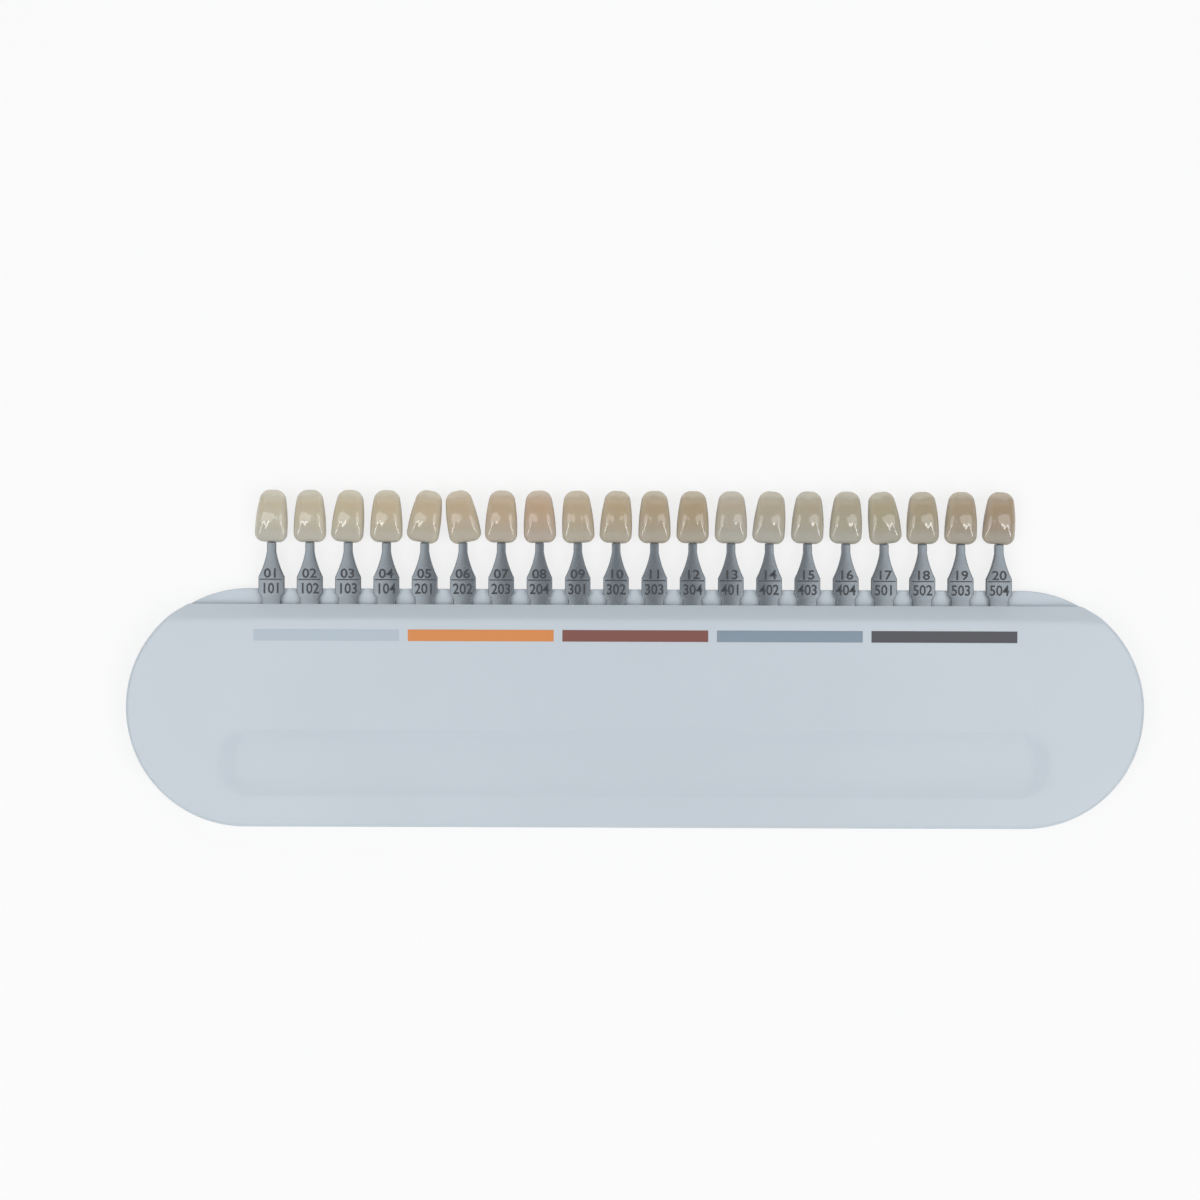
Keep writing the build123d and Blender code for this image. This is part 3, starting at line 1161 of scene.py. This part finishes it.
@dataclass
class Studio:
    """Camera, lamps, white surround and floor.

    The flanks of the glossy teeth mirror two bright strips, and the flat sticks at
    the ends of the row mirror two broad, dim boxes. Low fills light the front and the
    slope. The floor's size is in metres, and wall_height is the sine of an elevation.
    """

    view_centre: tuple[float, float] = (-11.0, 33.75)
    view_plane: float = 11.0
    view_width: float = 372.7
    distance: float = 600.0
    roll: float = 0.2
    wall_height: float = 0.35
    wall_light: float = 1.05
    ceiling_light: float = 0.23
    soft_colour: str = "#fafdff"
    floor_size: float = 24.0
    floor_gap: float = 0.05
    floor_colour: str = "#f6f6f6"
    floor_glow: float = 0.76
    lamps: tuple[Lamp, ...] = (
        Lamp("left_strip", (-0.6, -0.4, 0.9), (0.1, 0.8), 1.75),
        Lamp("right_strip", (0.6, -0.4, 0.9), (0.1, 0.8), 1.95),
        Lamp("left_box", (-0.41, 0.0, 0.9), (0.48, 0.66), 1.75, LampShape.ROUND),
        Lamp("right_box", (0.44, 0.0, 0.9), (0.48, 0.66), 1.75, LampShape.ROUND),
        Lamp("front_fill", (0.0, -0.9, 0.7), (1.6, 0.8), 2.45),
        Lamp("back_fill", (0.0, 0.9, 0.6), (1.6, 0.7), 3.0),
    )

    def camera(self) -> None:
        """Look straight down at the guide, as the photograph does."""
        data = bpy.data.cameras.new("camera")
        data.angle = 2 * math.atan(self.view_width / 2 / self.distance)
        data.clip_start = 0.01
        thing = bpy.data.objects.new("camera", data)
        x, y = self.view_centre
        thing.location = (x * MM, y * MM, (self.view_plane + self.distance) * MM)
        thing.rotation_euler = (0, 0, math.radians(self.roll))
        bpy.context.scene.collection.objects.link(thing)
        bpy.context.scene.camera = thing

    def world(self) -> None:
        """Surround the guide with white for the camera and soft light for the rest.

        The soft light is full at the horizon and dim overhead, as between white walls.
        """
        world = bpy.data.worlds.new("surround")
        bpy.context.scene.world = world
        world.use_nodes = True
        tree = world.node_tree
        tree.nodes.clear()
        place = add_node(tree, "ShaderNodeTexCoord").outputs["Generated"]
        height = add_node(tree, "ShaderNodeSeparateXYZ", {}, {"Vector": place}).outputs["Z"]
        settings = {
            "interpolation_type": "SMOOTHSTEP",
            "From Max": self.wall_height,
            "To Min": self.wall_light,
            "To Max": self.ceiling_light,
        }
        light = add_node(tree, "ShaderNodeMapRange", settings, {"Value": height})
        settings = {"Color": linear(self.soft_colour)}
        links = {"Strength": light.outputs["Result"]}
        soft = add_node(tree, "ShaderNodeBackground", settings, links)
        seen = add_node(tree, "ShaderNodeBackground", {"Color": linear("#ffffff")})
        path = add_node(tree, "ShaderNodeLightPath")
        links = {0: path.outputs["Is Camera Ray"], 1: soft.outputs[0], 2: seen.outputs[0]}
        mix = add_node(tree, "ShaderNodeMixShader", {}, links)
        add_node(tree, "ShaderNodeOutputWorld", {}, {"Surface": mix.outputs["Shader"]})

    def floor(self) -> None:
        """Lay a wide white floor that keeps the guide's shadow.

        To the camera it glows a little, so that it stays white away from the lamps.
        """
        corners = np.array([[-1, -1], [1, -1], [1, 1], [-1, 1]]) * self.floor_size / 2
        points = np.column_stack([corners / MM, np.full(4, -self.floor_gap)])
        floor = mesh_object("floor", points, np.array([[0, 1, 2, 3]]))
        material, tree = new_material("painted_board_white")
        path = add_node(tree, "ShaderNodeLightPath")
        settings = {"operation": "MULTIPLY", 1: self.floor_glow}
        share = add_node(tree, "ShaderNodeMath", settings, {0: path.outputs["Is Camera Ray"]})
        paint = add_node(tree, "ShaderNodeBsdfDiffuse", {"Color": linear(self.floor_colour)})
        glow = add_node(tree, "ShaderNodeEmission", {"Color": linear("#ffffff")})
        links = {0: share.outputs["Value"], 1: paint.outputs[0], 2: glow.outputs[0]}
        mix = add_node(tree, "ShaderNodeMixShader", {}, links)
        add_node(tree, "ShaderNodeOutputMaterial", {}, {"Surface": mix.outputs["Shader"]})
        floor.data.materials.append(material)

    def build(self) -> None:
        """Set up the view and the light."""
        bpy.context.scene.view_settings.view_transform = "Standard"
        self.camera()
        self.world()
        self.floor()
        for lamp in self.lamps:
            lamp.hang()


def report(pieces: list[bpy.types.Object]) -> None:
    """Log the name and the number of faces of each piece."""
    for piece in pieces:
        log.info("%s built, %d faces", piece.name, len(piece.data.polygons))


def main() -> None:
    """Build the studio and every sub-assembly, in order."""
    logging.basicConfig(level=logging.INFO, format="%(name)s: %(message)s")
    Studio().build()
    grain = Relief(0.35, 0.004)
    finish = MouldedPlastic("moulded_abs_blue_grey", "#c9d2da", "#c5ced6", 0.36, grain, 38.0)
    case = finish.build()
    report([FrontCover().build(case)])
    report(BackCover().build(case))
    report(CodeBars().build())
    report(ShadeRow().build())


if __name__ == "__main__":
    main()
